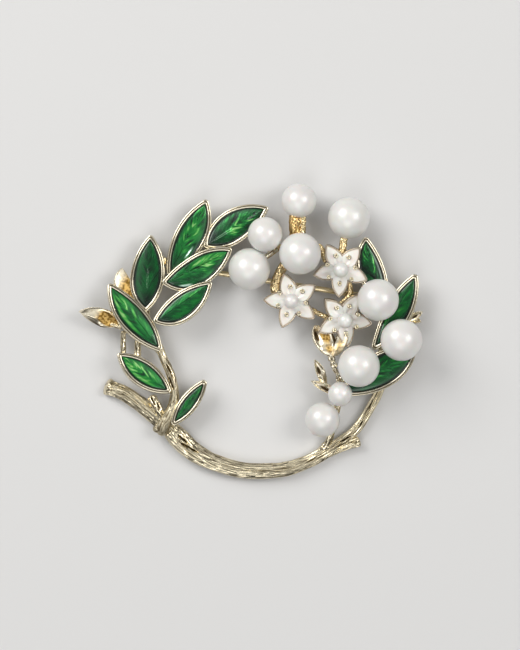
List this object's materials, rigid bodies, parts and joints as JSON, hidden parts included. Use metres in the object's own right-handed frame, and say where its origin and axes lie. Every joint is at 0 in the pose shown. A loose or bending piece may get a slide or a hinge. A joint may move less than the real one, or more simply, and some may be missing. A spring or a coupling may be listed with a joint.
{
  "type": "pearl brooch",
  "caption": "Wreath brooch: a gold-coloured cast branch ring with green enamel leaves, white enamel flowers and imitation pearls on pegs, with a bar pin on its back.",
  "frame": {"origin": "under the middle of the brooch, in the plane that it lies on", "axes": "+Z out of the front, +Y up the brooch as it is worn, +X to the right seen from the front"},
  "size_m": [0.0494, 0.0428, 0.0096],
  "materials": {
    "gold": "polished pale gold plating on a zinc casting",
    "pin_gold": "polished gold plating on steel",
    "green_enamel": "translucent emerald enamel with a glossy top",
    "white_enamel": "milky white enamel, glossy",
    "pearl": "white pearl lustre"
  },
  "bodies": {
    "root": {"gold_casting": "gold", "pin_back": "pin_gold", "enamel_left_1": "green_enamel", "enamel_left_2": "green_enamel", "enamel_left_3": "green_enamel", "enamel_left_4": "green_enamel", "enamel_left_5": "green_enamel", "enamel_left_6": "green_enamel", "enamel_left_7": "green_enamel", "enamel_left_8": "green_enamel", "enamel_right_1": "green_enamel", "enamel_right_2": "green_enamel", "enamel_right_3": "green_enamel", "flower_enamel_1": "white_enamel", "flower_enamel_2": "white_enamel", "flower_enamel_3": "white_enamel", "pearl_1": "pearl", "pearl_2": "pearl", "pearl_3": "pearl", "pearl_4": "pearl", "pearl_5": "pearl", "pearl_6": "pearl", "pearl_7": "pearl", "pearl_8": "pearl", "pearl_9": "pearl", "pearl_10": "pearl", "flower_pearl_1": "pearl", "flower_pearl_2": "pearl", "flower_pearl_3": "pearl"}
  },
  "joints": []
}
